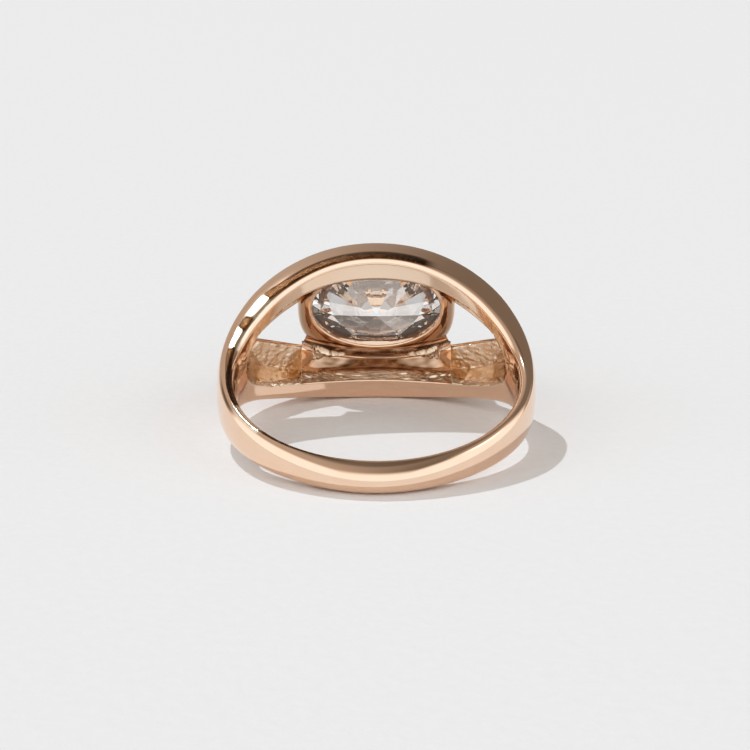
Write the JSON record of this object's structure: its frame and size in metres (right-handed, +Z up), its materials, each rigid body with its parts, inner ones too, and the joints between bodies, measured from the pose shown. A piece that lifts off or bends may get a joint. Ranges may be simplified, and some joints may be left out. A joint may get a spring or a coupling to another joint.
{
  "type": "finger ring",
  "caption": "Split-shank finger ring of rose gold with an oval brilliant set sideways in an open-backed bezel, lying on its side.",
  "frame": {"origin": "on the table, under the middle of the box around the ring as it lies on its side", "axes": "+Z up; +Y along the table from the palm side towards the stone; X across the ring; the finger's axis leans 13.1 degrees from +Z towards -Y"},
  "size_m": [0.0192, 0.0238, 0.0103],
  "materials": {
    "rose_gold": "polished outside, as cast in the hollow under the stone",
    "stone": "polished facets"
  },
  "bodies": {
    "root": {"ring_mount": "rose_gold", "oval_stone": "stone"}
  },
  "joints": []
}
